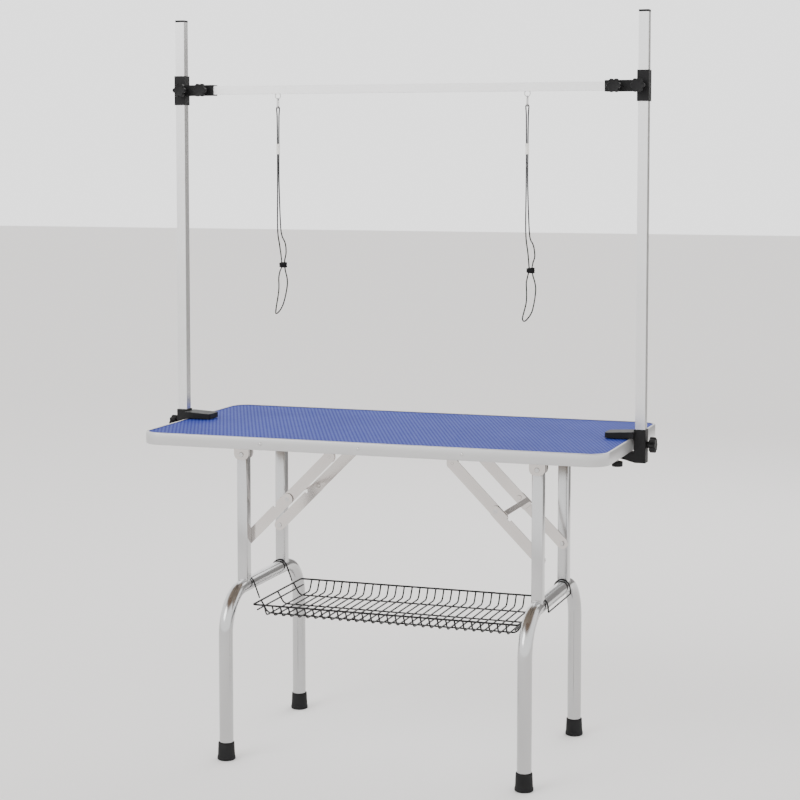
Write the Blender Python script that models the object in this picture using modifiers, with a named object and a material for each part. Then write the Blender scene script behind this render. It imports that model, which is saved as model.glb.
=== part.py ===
"""Folding grooming table: a table top on two folding leg frames, a wire basket between them, and two posts
clamped to the ends of the top that carry a crossbar with two nooses.

Metres, +Z up. The origin is on the floor under the middle of the table. +X runs along the table top.
"""
import math

import bmesh
import bpy
from mathutils import Matrix, Vector

# ---- driving dimensions --------------------------------------------------------------------------
GAP = 0.0003              # between two pieces that touch

TABLE_L = 1.074           # over the trim
TABLE_W = 0.545
TABLE_Z = 0.749           # top edge of the trim
CORNER_R = 0.042
TRIM_H = 0.0275
TRIM_WALL = 0.0022
TRIM_LIP = 0.005          # the lip that covers the mat's edge
TRIM_LIP_T = 0.0012
MAT_T = 0.004
PANEL_Z0 = 0.7225         # underside of the board
RIVET_X = (-0.243, -0.012, 0.224)    # along each long face of the trim

LEG_X = 0.351             # the plane of each leg frame
UPRIGHT_W = 0.025
UPRIGHT_T = 0.0015
UPRIGHT_Y = 0.1145
TUBE_R = 0.016
TUBE_T = 0.0015
TUBE_Z = 0.379            # height of the arch's straight stretch
LOWER_Y = 0.223
FOOT_H = 0.0405
FOOT_R_TOP = 0.0175
FOOT_R_BOTTOM = 0.0208

PIVOT_Z = 0.686           # leg hinge
PIVOT_R = 0.004
EAR_W = 0.036
EAR_T = 0.002
EAR_BOTTOM = 0.6735
EAR_RIVET_Z = 0.7015
BRACKET_TOP = PANEL_Z0 - GAP
PLATE_T = 0.002

STAY_A_X = 0.147          # stay's pivot under the board
STAY_C_Z = 0.482          # stay's pivot on the upright
STAY_W = 0.026
STAY_T = 0.0025
STAY_HEAD_T = 0.0015      # rivet heads and washers between the bars
STAY_PAST_ELBOW = 0.030

BASKET_X = 0.317          # rim, half size
BASKET_Y = 0.150
RIM_Z = 0.344
FLOOR_Z = 0.317
FLOOR_X = 0.299
WIRE_R = 0.00175
HOOK_Y = 0.0995
HOOK_OUT_X = 0.3708
HOOK_OUT_Z = 0.366
HOOK_END_Z = 0.352

POST_X = 0.5534
POST_W = 0.022
POST_T = 0.0012
POST_TOP = 1.683
CAP_H = 0.0045
CLAMP_W = 0.0262          # along X
CLAMP_D = 0.029           # along Y
CLAMP_Z0 = 0.695
CLAMP_Z1 = 0.769
JAW_Z = 0.7497
JAW_T = 0.0150
SCREW_X = 0.5005
SCREW_R = 0.003
LOCK_Z = 0.735

BAR_Z = 1.5235
BAR_W = 0.0195
BAR_T = 0.0012
BAR_END = 0.536
COLLAR_H = 0.068
ARM_END = 0.468
ARM_W = 0.025
KNOB_R = 0.0165
KNOB_T = 0.012
STUD_R = 0.0025
COLLAR_KNOB_X = 0.5455
ARM_KNOB_X = 0.493

NOOSE_X = (-0.309, 0.290)
CORD_R = 0.0015
EYE_R = 0.0065
LOOP_BOTTOM = 0.999

BLACK = ("black_plastic", (0.025, 0.025, 0.027), 0.45, 0.0)
RUBBER = ("black_rubber", (0.03, 0.03, 0.032), 0.8, 0.0)
STEEL = ("plated_steel", (0.62, 0.60, 0.585), 0.35, 0.8)
GREY = ("silver_paint", (0.55, 0.55, 0.55), 0.4, 0.3)
ALU = ("satin_aluminium", (0.68, 0.68, 0.68), 0.35, 0.7)
BLUE = ("blue_rubber_mat", (0.09, 0.13, 0.45), 0.75, 0.0)
WOOD = ("board", (0.20, 0.15, 0.10), 0.8, 0.0)
WIRE = ("black_wire", (0.02, 0.02, 0.02), 0.4, 0.2)
CORD = ("black_cord", (0.02, 0.02, 0.02), 0.9, 0.0)
IVORY = ("ivory_plastic", (0.75, 0.74, 0.70), 0.4, 0.0)

SIDES = (("left", -1), ("right", 1))
ENDS = (("front", -1), ("rear", 1))

for old in list(bpy.data.objects):
    bpy.data.objects.remove(old, do_unlink=True)
parts = bpy.data.collections.new("grooming_table")
cutters = bpy.data.collections.new("cutters")
for made in (parts, cutters):
    bpy.context.scene.collection.children.link(made)


# ---- helpers -------------------------------------------------------------------------------------
def material(spec):
    name, colour, roughness, metallic = spec
    found = bpy.data.materials.get(name)
    if found:
        return found
    made = bpy.data.materials.new(name)
    made.use_nodes = True
    shader = made.node_tree.nodes["Principled BSDF"]
    shader.inputs["Base Color"].default_value = (*colour, 1)
    shader.inputs["Roughness"].default_value = roughness
    shader.inputs["Metallic"].default_value = metallic
    return made


def link(name, data, spec, collection=parts):
    obj = bpy.data.objects.new(name, data)
    collection.objects.link(obj)
    if spec:
        data.materials.append(material(spec))
    return obj


def box_mesh(bm, low, high):
    """Adds a box between two corners, and returns its vertices."""
    low, high = Vector(low), Vector(high)
    size = high - low
    matrix = Matrix.Translation((low + high) / 2) @ Matrix.Diagonal((*size, 1))
    return bmesh.ops.create_cube(bm, size=1, matrix=matrix)["verts"]


def rod_mesh(bm, start, end, radius, sides=16, radius_end=None):
    """Adds a capped cylinder or cone between two points."""
    start, end = Vector(start), Vector(end)
    run = end - start
    turn = run.to_track_quat("Z", "Y").to_matrix().to_4x4()
    bmesh.ops.create_cone(
        bm, cap_ends=True, segments=sides, radius1=radius,
        radius2=radius if radius_end is None else radius_end,
        depth=run.length, matrix=Matrix.Translation((start + end) / 2) @ turn)


def solid(name, spec, boxes=(), rods=(), collection=parts):
    """An object made of separate boxes (low, high) and rods (start, end, radius, sides)."""
    bm = bmesh.new()
    for low, high in boxes:
        box_mesh(bm, low, high)
    for rod in rods:
        rod_mesh(bm, *rod)
    mesh = bpy.data.meshes.new(name)
    bm.to_mesh(mesh)
    bm.free()
    return link(name, mesh, spec, collection)


def as_mesh(obj):
    """Turns a curve, or a mesh with modifiers, into a plain closed mesh in world space."""
    name, collection = obj.name, obj.users_collection[0]
    bpy.context.view_layer.update()
    seen = obj.evaluated_get(bpy.context.evaluated_depsgraph_get())
    mesh = bpy.data.meshes.new_from_object(seen)
    mesh.transform(obj.matrix_world)
    bpy.data.objects.remove(obj, do_unlink=True)
    bm = bmesh.new()
    bm.from_mesh(mesh)
    bmesh.ops.remove_doubles(bm, verts=bm.verts, dist=2e-6)
    bmesh.ops.recalc_face_normals(bm, faces=bm.faces)
    bm.to_mesh(mesh)
    bm.free()
    made = bpy.data.objects.new(name, mesh)
    mesh.name = name
    collection.objects.link(made)
    return made


def outline(name, points, depth, spec, matrix=Matrix(), holes=(), collection=parts):
    """A flat outline in its own XY plane, extruded to depth from z = 0 up, then placed by matrix."""
    curve = bpy.data.curves.new(name, "CURVE")
    curve.dimensions = "2D"
    curve.fill_mode = "BOTH"
    curve.extrude = depth / 2
    for ring in (points, *holes):
        spline = curve.splines.new("POLY")
        spline.points.add(len(ring) - 1)
        for point, (x, y) in zip(spline.points, ring):
            point.co = (x, y, 0, 1)
        spline.use_cyclic_u = True
    obj = link(name, curve, spec, collection)
    obj.matrix_world = matrix @ Matrix.Translation((0, 0, depth / 2))
    return as_mesh(obj)


def along(axis, x, y, z):
    """A placement whose own Z runs along the axis, from the point."""
    return Matrix.Translation((x, y, z)) @ Vector(axis).to_track_quat("Z", "Y").to_matrix().to_4x4()


def turned(name, profile, spec, matrix=Matrix(), sides=16, closed=False, collection=parts):
    """A profile of (radius, height) points turned about its own Z: from axis to axis, or closed."""
    mesh = bpy.data.meshes.new(name)
    edges = [(n, n + 1) for n in range(len(profile) - 1)]
    if closed:
        edges.append((len(profile) - 1, 0))
    mesh.from_pydata([(r, 0, z) for r, z in profile], edges, [])
    obj = link(name, mesh, spec, collection)
    obj.matrix_world = matrix
    screw = obj.modifiers.new("turn", "SCREW")
    screw.steps = screw.render_steps = sides
    screw.use_merge_vertices = True
    screw.merge_threshold = 0.00002
    return as_mesh(obj)


def weld(obj, *tools):
    """Joins other solids onto obj, one after another."""
    for tool in tools:
        carve(obj, tool, "UNION")
    return obj


def smooth_route(points, spacing):
    """Points at an even spacing along a smooth (Catmull-Rom) curve through the given points."""
    ends = [points[0] * 2 - points[1], *points, points[-1] * 2 - points[-2]]
    fine = []
    for a, b, c, d in zip(ends, ends[1:], ends[2:], ends[3:]):
        for step in range(24):
            t = step / 24
            fine.append(0.5 * (2 * b + (c - a) * t + (2 * a - 5 * b + 4 * c - d) * t * t
                               + (3 * b - a - 3 * c + d) * t ** 3))
    fine.append(points[-1])
    total = sum((q - p).length for p, q in zip(fine, fine[1:]))
    count = max(2, round(total / spacing))
    route, walked, target = [fine[0]], 0.0, total / count
    for p, q in zip(fine, fine[1:]):
        step = (q - p).length
        while step and walked + step >= target * len(route) and len(route) < count:
            route.append(p.lerp(q, (target * len(route) - walked) / step))
        walked += step
    route.append(fine[-1])
    return route


def wire(name, points, radius, spec, resolution=2, cyclic=False, collection=parts):
    """A round wire or tube with filled caps through the points."""
    curve = bpy.data.curves.new(name, "CURVE")
    curve.dimensions = "3D"
    curve.bevel_depth = radius
    curve.bevel_resolution = resolution
    curve.use_fill_caps = not cyclic
    spline = curve.splines.new("POLY")
    spline.points.add(len(points) - 1)
    for point, place in zip(spline.points, points):
        point.co = (*place, 1)
    spline.use_cyclic_u = cyclic
    return as_mesh(link(name, curve, spec, collection))


def carve(obj, tool, operation="DIFFERENCE"):
    """Cuts or joins obj with tool, with an exact Boolean applied at once; the tool is used up."""
    change = obj.modifiers.new("boolean", "BOOLEAN")
    change.operation = operation
    change.solver = "EXACT"
    change.object = tool
    bpy.context.view_layer.update()
    seen = obj.evaluated_get(bpy.context.evaluated_depsgraph_get())
    mesh = bpy.data.meshes.new_from_object(seen)
    obj.modifiers.clear()
    old, obj.data = obj.data, mesh
    mesh.name = obj.name
    bpy.data.meshes.remove(old)
    bpy.data.objects.remove(tool, do_unlink=True)
    return obj


def cut(obj, boxes=(), rods=()):
    return carve(obj, solid("cutter", None, boxes, rods, cutters))


def join(obj, boxes=(), rods=()):
    for low, high in boxes:
        carve(obj, solid("tool", None, [(low, high)], (), cutters), "UNION")
    for rod in rods:
        carve(obj, solid("tool", None, (), [rod], cutters), "UNION")
    return obj


def arc(cx, cy, radius, start, end, steps):
    """Points on an arc, angles in degrees."""
    turns = [math.radians(start + (end - start) * n / steps) for n in range(steps + 1)]
    return [(cx + radius * math.cos(a), cy + radius * math.sin(a)) for a in turns]


def rounded_rectangle(half_x, half_y, radius, steps=6):
    cx, cy = half_x - radius, half_y - radius
    return (arc(cx, cy, radius, 0, 90, steps) + arc(-cx, cy, radius, 90, 180, steps)
            + arc(-cx, -cy, radius, 180, 270, steps) + arc(cx, -cy, radius, 270, 360, steps))


def shade(obj, angle=35):
    obj.data.shade_smooth()
    obj.data.set_sharp_from_angle(angle=math.radians(angle))
    return obj


def facing_y(y):
    """Places an outline drawn in X and Z: it stands upright and its depth runs from y towards -Y."""
    return Matrix.Translation((0, y, 0)) @ Matrix.Rotation(math.pi / 2, 4, "X")


def slab(name, points, near, far, spec, holes=()):
    """An outline in X and Z that fills the space between two Y planes."""
    return outline(name, points, abs(far - near), spec, facing_y(max(near, far)), holes)


def disc(x, z, radius, sides=16):
    return [(x + radius * math.cos(math.tau * n / sides), z + radius * math.sin(math.tau * n / sides))
            for n in range(sides)]


# ---- table top -----------------------------------------------------------------------------------
half_l, half_w = TABLE_L / 2, TABLE_W / 2
inset = TRIM_WALL + GAP
BOARD_TOP = TABLE_Z - TRIM_LIP_T - GAP - MAT_T - 0.0005
MAT_Z0 = BOARD_TOP + GAP
board_outline = rounded_rectangle(half_l - inset, half_w - inset, CORNER_R - inset)

outline("table_panel", board_outline, BOARD_TOP - PANEL_Z0, WOOD, Matrix.Translation((0, 0, PANEL_Z0)))
outline("top_mat", board_outline, MAT_T, BLUE, Matrix.Translation((0, 0, MAT_Z0)))

trim = outline(
    "edge_trim", rounded_rectangle(half_l, half_w, CORNER_R), TRIM_H, ALU,
    Matrix.Translation((0, 0, TABLE_Z - TRIM_H)))
inner = outline("cutter", rounded_rectangle(half_l - TRIM_WALL, half_w - TRIM_WALL, CORNER_R - TRIM_WALL),
                TRIM_H + 0.005 - TRIM_LIP_T, None, Matrix.Translation((0, 0, TABLE_Z - TRIM_H - 0.005)))
carve(trim, inner)
inner = outline("cutter", rounded_rectangle(half_l - TRIM_LIP, half_w - TRIM_LIP, CORNER_R - TRIM_LIP),
                0.02, None, Matrix.Translation((0, 0, TABLE_Z - 0.01)))
carve(trim, inner)
rivet = [(0, -0.0010), (0.0034, -0.0010), (0.0034, 0.0004), (0.0026, 0.0014),
         (0, 0.0018)]
for x in RIVET_X:
    for _, e in ENDS:
        weld(trim, turned("tool", rivet, None, along((0, e, 0), x, e * half_w, 0.735), 8))
shade(trim)

# ---- hinge brackets and their pins ---------------------------------------------------------------
inner_face, outer_face = UPRIGHT_Y - UPRIGHT_W / 2, UPRIGHT_Y + UPRIGHT_W / 2
ear_in = (inner_face - 0.0004 - EAR_T, inner_face - 0.0004)
ear_out = (outer_face + 0.0004, outer_face + 0.0004 + EAR_T)
stud_out = [(0, ear_out[0] + 0.0004), (0.0036, ear_out[0] + 0.0004), (0.0036, ear_out[1] + 0.0008),
            (0.0028, ear_out[1] + 0.0014), (0, ear_out[1] + 0.0016)]
stud_in = [(0, ear_in[1] - 0.0004), (0.0036, ear_in[1] - 0.0004), (0.0036, ear_in[0] - 0.0007),
           (0.0030, ear_in[0] - 0.0012), (0, ear_in[0] - 0.0013)]
pin = [(0, ear_in[0] - 0.0018), (0.006, ear_in[0] - 0.0017), (0.006, ear_in[0] - GAP),
       (PIVOT_R, ear_in[0] - GAP), (PIVOT_R, ear_out[1] + GAP), (0.006, ear_out[1] + GAP),
       (0.0052, ear_out[1] + 0.0016), (0, ear_out[1] + 0.0020)]
for side, s in SIDES:
    for end, e in ENDS:
        x = s * LEG_X
        half, r = EAR_W / 2, 0.014
        ear = ([(x + half, BRACKET_TOP), (x - half, BRACKET_TOP)]
               + arc(x - half + r, EAR_BOTTOM + r, r, 180, 270, 4)
               + arc(x + half - r, EAR_BOTTOM + r, r, 270, 360, 4))
        holes = [disc(x, PIVOT_Z, PIVOT_R + GAP, 12)]
        bracket = slab(f"{side}_{end}_hinge_bracket", ear, e * ear_in[0], e * ear_in[1], STEEL, holes)
        y0, y1 = sorted((e * (ear_in[0] + 0.0005), e * (ear_out[1] - 0.0005)))
        base = solid("tool", None, [((x - half + 0.0006, y0, BRACKET_TOP - PLATE_T),
                                     (x + half - 0.0006, y1, BRACKET_TOP - 0.0002))])
        weld(bracket, base, slab("tool", ear, e * ear_out[0], e * ear_out[1], None, holes))
        for stud in (stud_out, stud_in):
            weld(bracket, turned("tool", stud, None, along((0, e, 0), x, 0, EAR_RIVET_Z), 8))
        shade(bracket)
        shade(turned(f"{side}_{end}_hinge_pin", pin, STEEL, along((0, e, 0), x, 0, PIVOT_Z), 12))

# ---- folding stays -------------------------------------------------------------------------------
BAR_OUT = (inner_face - GAP - STAY_T, inner_face - GAP)          # lower bars, against the uprights
WASHER = (BAR_OUT[0] - GAP - STAY_HEAD_T, BAR_OUT[0] - GAP)
BAR_IN = (WASHER[0] - GAP - STAY_T, WASHER[0] - GAP)             # upper bars
HEAD_IN = (BAR_IN[0] - GAP - STAY_HEAD_T, BAR_IN[0] - GAP)
TAB = (BAR_IN[0] - GAP - 0.002, BAR_IN[0] - GAP)                 # stay brackets' tabs
A = Vector((STAY_A_X, PIVOT_Z))
C = Vector((LEG_X, STAY_C_Z))
HALF_STAY = (C - A).length / 2
DOWN = (C - A).normalized()                                      # along the stay, from the board to the leg
CORNER = Vector((-DOWN.y, DOWN.x))                               # across it, towards the corner above
SR = STAY_W / 2


def on_stay(s, u, v):
    place = A + DOWN * u + CORNER * v
    return (s * place.x, place.y)


def stay_round(u, start, end):
    """A bar's rounded end about u, in the bar's own frame."""
    return [(u + SR * math.cos(math.radians(a)), SR * math.sin(math.radians(a)))
            for a in [start + (end - start) * n / 8 for n in range(9)]]


UPPER_LAST = HALF_STAY + STAY_PAST_ELBOW
tab_rivet = [(0, TAB[0] - 0.0018), (0.005, TAB[0] - 0.0016), (0.0055, TAB[0] + 0.0003),
             (0.003, TAB[1] - 0.0003),
             (0.003, BAR_IN[1]), (0, BAR_IN[1])]
elbow = [(0, HEAD_IN[0]), (0.0052, HEAD_IN[0] + 0.0002), (0.006, BAR_IN[0] + 0.0003),
         (0.008, BAR_IN[1] - 0.0003),
         (0.008, WASHER[1]), (0, WASHER[1])]
for side, s in SIDES:
    strip = [(HALF_STAY + 0.012, SR - 0.001), (HALF_STAY + 0.024, SR - 0.001),
             (HALF_STAY + 0.024, SR + 0.0020), (HALF_STAY + 0.012, SR + 0.0020)]
    strip_end = BAR_IN[1] - 0.0004
    upper_stay = slab(f"{side}_upper_stay", [on_stay(s, *p) for p in strip], -strip_end, strip_end, STEEL)
    for end, e in ENDS:
        x = s * STAY_A_X
        tab = ([(x + 0.014, BRACKET_TOP), (x - 0.014, BRACKET_TOP)]
               + arc(x - 0.004, EAR_BOTTOM + 0.010, 0.010, 180, 270, 4)
               + arc(x + 0.004, EAR_BOTTOM + 0.010, 0.010, 270, 360, 4))
        bracket = slab(f"{side}_{end}_stay_bracket", tab, e * TAB[0], e * TAB[1], STEEL)
        y0, y1 = sorted((e * 0.064, e * (TAB[1] - 0.0005)))
        base = solid("tool", None, [((x - 0.0134, y0, BRACKET_TOP - PLATE_T),
                                     (x + 0.0134, y1, BRACKET_TOP - 0.0002))])
        weld(bracket, base, turned("tool", tab_rivet, None, along((0, e, 0), x, 0, PIVOT_Z), 12))
        shade(bracket)

        upper = stay_round(0, 90, 270) + [(UPPER_LAST - 0.004, -SR), (UPPER_LAST, -SR + 0.004),
                                          (UPPER_LAST, SR - 0.004), (UPPER_LAST - 0.004, SR)]
        hole_a = disc(0, 0, 0.0033, 12)
        bx, bz = on_stay(s, HALF_STAY, 0)
        weld(upper_stay, slab("tool", [on_stay(s, *p) for p in upper], e * BAR_IN[0], e * BAR_IN[1], None,
                              [[on_stay(s, *p) for p in hole_a]]),
             turned("tool", elbow, None, along((0, e, 0), bx, 0, bz), 14))
        n0, n1 = HALF_STAY + 0.028, HALF_STAY + 0.038
        lower = (stay_round(HALF_STAY, 90, 270) + stay_round(2 * HALF_STAY, -90, 90)
                 + [(n1, SR), (n1 - 0.001, SR - 0.005), (n0 + 0.001, SR - 0.005), (n0, SR)])
        hole_c = disc(2 * HALF_STAY, 0, 0.0033, 12)
        shade(slab(f"{side}_{end}_lower_stay", [on_stay(s, *p) for p in lower],
                   e * BAR_OUT[0], e * BAR_OUT[1], STEEL, [[on_stay(s, *p) for p in hole_c]]))
    shade(upper_stay)

# ---- leg frames ----------------------------------------------------------------------------------
BEND_Y = 0.128
BEND_R = LOWER_Y - BEND_Y
for side, s in SIDES:
    x = s * LEG_X
    path = [(-LOWER_Y, 0.0120)]
    path += arc(-BEND_Y, TUBE_Z - BEND_R, BEND_R, 180, 90, 6)
    path += arc(BEND_Y, TUBE_Z - BEND_R, BEND_R, 90, 0, 6)
    path.append((LOWER_Y, 0.0120))
    frame = wire(f"{side}_leg_frame", [Vector((x, y, z)) for y, z in path], TUBE_R, GREY, 3)
    path[0] = (-LOWER_Y, 0.0)
    path[-1] = (LOWER_Y, 0.0)
    carve(frame, wire("cutter", [Vector((x, y, z)) for y, z in path], TUBE_R - TUBE_T, None, 3))
    foot = [(0, 0), (FOOT_R_BOTTOM, 0), (FOOT_R_BOTTOM, 0.006), (FOOT_R_TOP, FOOT_H),
            (TUBE_R + 0.0007, FOOT_H), (TUBE_R + 0.0007, 0.0117), (0, 0.0117)]
    h, w = UPRIGHT_W / 2, UPRIGHT_W / 2 - UPRIGHT_T
    for end, e in ENDS:
        shade(turned(f"{side}_{end}_foot", foot, RUBBER, Matrix.Translation((x, e * LOWER_Y, 0)), 18))
        y = e * UPRIGHT_Y
        ring = [(x - h, y - h), (x + h, y - h), (x + h, y + h), (x - h, y + h)]
        hole = [(x - w, y - w), (x + w, y - w), (x + w, y + w), (x - w, y + w)]
        upright = outline("tool", ring, 0.701 - TUBE_Z, None, Matrix.Translation((0, 0, TUBE_Z)), [hole])
        cut(upright, rods=[((x, y - 0.03, TUBE_Z), (x, y + 0.03, TUBE_Z), TUBE_R - TUBE_T / 2, 16)])
        cut(upright, rods=[((x, y - 0.03, PIVOT_Z), (x, y + 0.03, PIVOT_Z), PIVOT_R + GAP, 12)])
        seat = [(0, WASHER[0] + 0.0001), (0.005, WASHER[0] + 0.0002), (0.0055, WASHER[1]), (0.003, WASHER[1]),
                (0.003, inner_face + 0.0007), (0, inner_face + 0.0007)]
        weld(frame, upright, turned("tool", seat, None, along((0, e, 0), x, 0, STAY_C_Z), 12))
    shade(frame, 30)
    arm = [(0.3200, HOOK_END_Z)]
    arm += [(LEG_X + 0.0185 * math.cos(math.radians(a)), TUBE_Z + 0.0185 * math.sin(math.radians(a)))
            for a in (160, 135, 110, 85, 60, 35, 10)]
    arm += [(HOOK_OUT_X, 0.3740), (HOOK_OUT_X, HOOK_OUT_Z)]
    hook = ([Vector((s * hx, -HOOK_Y, hz)) for hx, hz in arm]
            + [Vector((s * hx, HOOK_Y, hz)) for hx, hz in arm[::-1]])
    shade(wire(f"{side}_basket_hook", hook, WIRE_R, WIRE, 2))

# ---- basket --------------------------------------------------------------------------------------
FLOOR_Y = 0.135
RIM_W = 2 * WIRE_R
tray = [(BASKET_X, BASKET_Y, RIM_Z), (BASKET_X - RIM_W, BASKET_Y - RIM_W, RIM_Z), (FLOOR_X, FLOOR_Y, FLOOR_Z)]
bm = bmesh.new()
corners = ((1, 1), (-1, 1), (-1, -1), (1, -1))
rings = [[bm.verts.new((px * x, py * y, z)) for px, py in corners] for x, y, z in tray]
for outer, inner in zip(rings, rings[1:]):
    for n in range(4):
        bm.faces.new((outer[n], outer[(n + 1) % 4], inner[(n + 1) % 4], inner[n]))
bm.faces.new(rings[-1])
mesh = bpy.data.meshes.new("basket_tray")
bm.to_mesh(mesh)
bm.free()
basket = link("basket_tray", mesh, WIRE)
shell = basket.modifiers.new("thickness", "SOLIDIFY")
shell.thickness = 0.003
shell.offset = 0
as_mesh(basket)


# ---- clamps and posts ----------------------------------------------------------------------------
def star(radius, dip, lobes, steps=3):
    """A knob's outline with round lobes, from its own centre."""
    count = lobes * steps
    points = []
    for n in range(count):
        a = math.tau * n / count
        r = radius - dip / 2 + dip / 2 * math.cos(lobes * a)
        points.append((r * math.cos(a), r * math.sin(a)))
    return points


def knob(name, matrix, radius, dip, lobes, height, boss, stud_end):
    """A lobed head at height z = boss and up, with a boss below it and a stud down to stud_end (negative)."""
    head = outline(name, star(radius, dip, lobes), height, BLACK, matrix @ Matrix.Translation((0, 0, boss)))
    stem = [(0, stud_end), (STUD_R, stud_end), (STUD_R, 0), (radius * 0.42, 0), (radius * 0.42, boss + 0.002),
            (0, boss + 0.002)]
    carve(head, turned("tool", stem, None, matrix, 12), "UNION")
    return shade(head, 40)


SLOT = POST_W / 2 + GAP
body_x = (POST_X - CLAMP_W / 2, POST_X + CLAMP_W / 2)
JAW_END = 0.4765
jaw_half = [(body_x[0] + 0.0012, 0.0260), (JAW_END + 0.0045, 0.0260), (JAW_END, 0.0215)]
jaw_outline = jaw_half + [(x, -y) for x, y in jaw_half[::-1]]
lower_outline = [(body_x[0] + 0.0012, 0.6957), (0.5350, 0.6965), (0.5250, 0.6995), (0.5120, 0.7025),
                 (0.4930, 0.7040), (0.4860, 0.7070), (0.4850, 0.7120), (0.4860, 0.7165), (0.4880, 0.7180),
                 (body_x[0] + 0.0012, 0.7180)]
for side, s in SIDES:
    x0, x1 = sorted((s * body_x[0], s * body_x[1]))
    clamp = solid(f"{side}_clamp", BLACK, [((x0, -CLAMP_D / 2, CLAMP_Z0), (x1, CLAMP_D / 2, CLAMP_Z1))])
    jaw = outline("tool", [(s * x, y) for x, y in jaw_outline], JAW_T, None,
                  Matrix.Translation((0, 0, JAW_Z)))
    for vert in jaw.data.vertices:
        if vert.co.z > JAW_Z + JAW_T / 2:
            vert.co.z -= 0.0035 * (body_x[0] - abs(vert.co.x)) / (body_x[0] - JAW_END)
    carve(clamp, jaw, "UNION")
    lower = slab("tool", [(s * x, z) for x, z in lower_outline], -0.0125, 0.0125, None)
    carve(clamp, lower, "UNION")
    cut(clamp, [((s * POST_X - SLOT, -SLOT, 0.700), (s * POST_X + SLOT, SLOT, 0.8))])
    cut(clamp, rods=[((s * SCREW_X, 0, 0.69), (s * SCREW_X, 0, 0.73), SCREW_R + GAP, 12)])
    cut(clamp, rods=[((s * (POST_X + 0.008), 0, LOCK_Z), (s * 0.60, 0, LOCK_Z), STUD_R + GAP, 12)])
    shade(clamp, 30)

    spindle = [(0, 0.6830), (0.0112, 0.6830), (0.01225, 0.6845), (0.01225, 0.6935), (0.0112, 0.6948),
               (SCREW_R, 0.6948), (SCREW_R, 0.7190), (0, 0.7190)]
    shade(turned(f"{side}_clamp_screw", spindle, BLACK, Matrix.Translation((s * SCREW_X, 0, 0)), 16))
    pad = [(0, 0.7193), (0.0085, 0.7193), (0.0085, 0.7210), (0.0078, 0.7222), (0, 0.7222)]
    shade(turned(f"{side}_clamp_pad", pad, BLACK, Matrix.Translation((s * SCREW_X, 0, 0)), 16))
    knob(f"{side}_post_lock_knob", along((s, 0, 0), s * (body_x[1] + 0.0008), 0, LOCK_Z), 0.0175, 0.0045, 8,
         0.014, 0.006, -(body_x[1] + 0.0008 - POST_X - POST_W / 2 - GAP))

    h, w = POST_W / 2, POST_W / 2 - POST_T
    px = s * POST_X
    outline(f"{side}_post", [(px - h, -h), (px + h, -h), (px + h, h), (px - h, h)], POST_TOP - 0.7003, ALU,
            Matrix.Translation((0, 0, 0.7003)), [[(px - w, -w), (px + w, -w), (px + w, w), (px - w, w)]])
    plug = w - GAP
    cap = solid(f"{side}_post_cap", BLACK, [((px - h - 0.0002, -h - 0.0002, POST_TOP + GAP),
                                             (px + h + 0.0002, h + 0.0002, POST_TOP + GAP + CAP_H))])
    join(cap, [((px - plug, -plug, POST_TOP - 0.010), (px + plug, plug, POST_TOP + 0.002))])

    # T-shaped connector between the post and the crossbar
    connector = solid(f"{side}_connector", BLACK, [((x0, -0.014, BAR_Z - COLLAR_H / 2),
                                                    (x1, 0.014, BAR_Z + COLLAR_H / 2))])
    a0, a1 = sorted((s * ARM_END, s * (body_x[0] + 0.001)))
    join(connector, [((a0, -ARM_W / 2, BAR_Z - ARM_W / 2), (a1, ARM_W / 2, BAR_Z + ARM_W / 2))])
    cut(connector, [((px - SLOT, -SLOT, BAR_Z - 0.05), (px + SLOT, SLOT, BAR_Z + 0.05))])
    bore = BAR_W / 2 + GAP
    b0, b1 = sorted((s * (ARM_END - 0.01), s * (BAR_END + 0.0020)))
    cut(connector, [((b0, -bore, BAR_Z - bore), (b1, bore, BAR_Z + bore))])
    for kx in (COLLAR_KNOB_X, ARM_KNOB_X):
        cut(connector, rods=[((s * kx, -0.02, BAR_Z), (s * kx, -0.002, BAR_Z), STUD_R + GAP, 12)])
    collar_face, arm_face = 0.014 + 0.0008, ARM_W / 2 + 0.0008
    knob(f"{side}_collar_knob", along((0, -1, 0), s * COLLAR_KNOB_X, -collar_face, BAR_Z), KNOB_R, 0.004, 6,
         KNOB_T, 0.010, -(collar_face - POST_W / 2 - GAP))
    knob(f"{side}_arm_knob", along((0, -1, 0), s * ARM_KNOB_X, -arm_face, BAR_Z), KNOB_R, 0.004, 6,
         KNOB_T, 0.0115, -(arm_face - BAR_W / 2 - GAP))

# ---- crossbar and nooses -------------------------------------------------------------------------
h, w = BAR_W / 2, BAR_W / 2 - BAR_T
bar = solid("crossbar", ALU, [((-BAR_END, -h, BAR_Z - h), (BAR_END, h, BAR_Z + h))])
cut(bar, [((-0.6, -w, BAR_Z - w), (0.6, w, BAR_Z + w))])
cut(bar, rods=[((x, 0, BAR_Z - 0.02), (x, 0, BAR_Z - 0.002), 0.0018, 12) for x in NOOSE_X])

EYE_WIRE = 0.00125
eye_z = BAR_Z - h - 0.0015 - EYE_R
for (side, _), x in zip(SIDES, NOOSE_X):
    loop = [(EYE_R - EYE_WIRE + EYE_WIRE * math.cos(math.tau * n / 6), EYE_WIRE * math.sin(math.tau * n / 6))
            for n in range(6)]
    eye = turned(f"{side}_noose_eye", loop, BLACK, along((0, 1, 0), x, 0, eye_z), 14, True)
    stem = [(0, eye_z + EYE_R - 0.0018), (0.0015, eye_z + EYE_R - 0.0018), (0.0015, BAR_Z - w + GAP),
            (0.0032, BAR_Z - w + GAP), (0.0032, BAR_Z - w + 0.0025), (0, BAR_Z - w + 0.0025)]
    shade(weld(eye, turned("tool", stem, None, Matrix.Translation((x, 0, 0)), 12)))

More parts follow.
